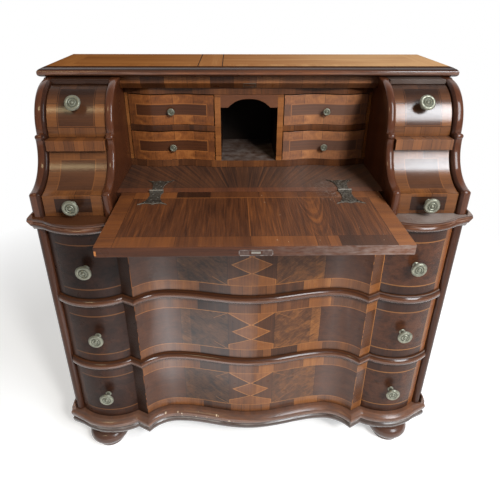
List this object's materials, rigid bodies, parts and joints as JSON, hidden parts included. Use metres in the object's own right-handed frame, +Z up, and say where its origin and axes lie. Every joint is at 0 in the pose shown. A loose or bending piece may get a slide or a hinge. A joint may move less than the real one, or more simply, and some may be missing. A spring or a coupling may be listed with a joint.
{
  "type": "fall-front desk",
  "caption": "Serpentine fall-front writing desk with bowed long drawers, S-shaped wings of small drawers, a hinged fall with a lock and a fitted interior round an arched niche.",
  "frame": {"origin": "on the floor, under the middle of the desk's box with its fall open", "axes": "+Z up, -Y to the front where the fall opens, +X to the right as seen from the front"},
  "size_m": [1.1, 0.7054, 1.095],
  "materials": {
    "walnut_veneer": "French-polished walnut veneer with banding and stringing",
    "dark_walnut": "dark polished walnut",
    "softwood": "plain planed softwood",
    "aged_brass": "dull, tarnished",
    "dark_iron": "forged, dark and pitted"
  },
  "bodies": {
    "desk": {"base_plinth": "dark_walnut", "waist_board": "walnut_veneer", "back_panel": "softwood", "top_rail": "walnut_veneer", "top_board": "walnut_veneer", "writing_bed": "walnut_veneer", "interior_base": "walnut_veneer", "interior_frame": "walnut_veneer", "niche_frame": "walnut_veneer", "drawer_divider_lower": "walnut_veneer", "drawer_divider_upper": "walnut_veneer", "foot_front_left": "dark_walnut", "foot_front_right": "dark_walnut", "foot_rear_left": "dark_walnut", "foot_rear_right": "dark_walnut", "side_panel_left": "walnut_veneer", "side_panel_right": "walnut_veneer", "wing_outer_panel_left": "walnut_veneer", "wing_outer_panel_right": "walnut_veneer", "wing_inner_panel_left": "walnut_veneer", "wing_inner_panel_right": "walnut_veneer", "wing_shelf_left": "walnut_veneer", "wing_shelf_right": "walnut_veneer", "interior_shelf_left": "walnut_veneer", "interior_shelf_right": "walnut_veneer", "hinge_bed_leaf_left": "dark_iron", "hinge_bed_leaf_right": "dark_iron"},
    "long_drawer_bottom": {"long_drawer_bottom_front": "walnut_veneer", "long_drawer_bottom_box": "softwood", "long_drawer_bottom_knob_left": "aged_brass", "long_drawer_bottom_knob_right": "aged_brass"},
    "long_drawer_middle": {"long_drawer_middle_front": "walnut_veneer", "long_drawer_middle_box": "softwood", "long_drawer_middle_knob_left": "aged_brass", "long_drawer_middle_knob_right": "aged_brass"},
    "long_drawer_top": {"long_drawer_top_front": "walnut_veneer", "long_drawer_top_box": "softwood", "long_drawer_top_knob_left": "aged_brass", "long_drawer_top_knob_right": "aged_brass"},
    "wing_drawer_lower_left": {"wing_drawer_lower_left": "walnut_veneer", "wing_drawer_lower_left_knob": "aged_brass"},
    "wing_drawer_upper_left": {"wing_drawer_upper_left": "walnut_veneer", "wing_drawer_upper_left_knob": "aged_brass"},
    "wing_drawer_lower_right": {"wing_drawer_lower_right": "walnut_veneer", "wing_drawer_lower_right_knob": "aged_brass"},
    "wing_drawer_upper_right": {"wing_drawer_upper_right": "walnut_veneer", "wing_drawer_upper_right_knob": "aged_brass"},
    "interior_drawer_lower_left": {"interior_drawer_lower_left": "walnut_veneer", "interior_drawer_lower_left_knob": "aged_brass"},
    "interior_drawer_lower_right": {"interior_drawer_lower_right": "walnut_veneer", "interior_drawer_lower_right_knob": "aged_brass"},
    "interior_drawer_upper_left": {"interior_drawer_upper_left": "walnut_veneer", "interior_drawer_upper_left_knob": "aged_brass"},
    "interior_drawer_upper_right": {"interior_drawer_upper_right": "walnut_veneer", "interior_drawer_upper_right_knob": "aged_brass"},
    "fall": {"fall_board": "walnut_veneer", "hinge_fall_leaf_left": "dark_iron", "hinge_fall_leaf_right": "dark_iron", "fall_lock": "dark_iron"},
    "lock_bolt": {"lock_bolt": "dark_iron"}
  },
  "joints": [
    {"name": "long_drawer_bottom_slide", "type": "slide", "parent": "desk", "child": "long_drawer_bottom", "axis": [0, -1, 0], "range_m": [0, 0.36]},
    {"name": "long_drawer_middle_slide", "type": "slide", "parent": "desk", "child": "long_drawer_middle", "axis": [0, -1, 0], "range_m": [0, 0.36]},
    {"name": "long_drawer_top_slide", "type": "slide", "parent": "desk", "child": "long_drawer_top", "axis": [0, -1, 0], "range_m": [0, 0.36]},
    {"name": "wing_drawer_lower_left_slide", "type": "slide", "parent": "desk", "child": "wing_drawer_lower_left", "axis": [0, -1, 0], "range_m": [0, 0.28]},
    {"name": "wing_drawer_upper_left_slide", "type": "slide", "parent": "desk", "child": "wing_drawer_upper_left", "axis": [0, -1, 0], "range_m": [0, 0.22]},
    {"name": "wing_drawer_lower_right_slide", "type": "slide", "parent": "desk", "child": "wing_drawer_lower_right", "axis": [0, -1, 0], "range_m": [0, 0.28]},
    {"name": "wing_drawer_upper_right_slide", "type": "slide", "parent": "desk", "child": "wing_drawer_upper_right", "axis": [0, -1, 0], "range_m": [0, 0.22]},
    {"name": "interior_drawer_lower_left_slide", "type": "slide", "parent": "desk", "child": "interior_drawer_lower_left", "axis": [0, -1, 0], "range_m": [0, 0.16]},
    {"name": "interior_drawer_lower_right_slide", "type": "slide", "parent": "desk", "child": "interior_drawer_lower_right", "axis": [0, -1, 0], "range_m": [0, 0.16]},
    {"name": "interior_drawer_upper_left_slide", "type": "slide", "parent": "desk", "child": "interior_drawer_upper_left", "axis": [0, -1, 0], "range_m": [0, 0.16]},
    {"name": "interior_drawer_upper_right_slide", "type": "slide", "parent": "desk", "child": "interior_drawer_upper_right", "axis": [0, -1, 0], "range_m": [0, 0.16]},
    {"name": "fall_hinge", "type": "hinge", "parent": "desk", "child": "fall", "pos_m": [0, -0.06482, 0.8104], "axis": [1, 0, 0], "range_deg": [-129.7, 0]},
    {"name": "lock_bolt_slide", "type": "slide", "parent": "fall", "child": "lock_bolt", "axis": [0, -1, 0], "range_m": [0, 0.008]}
  ]
}
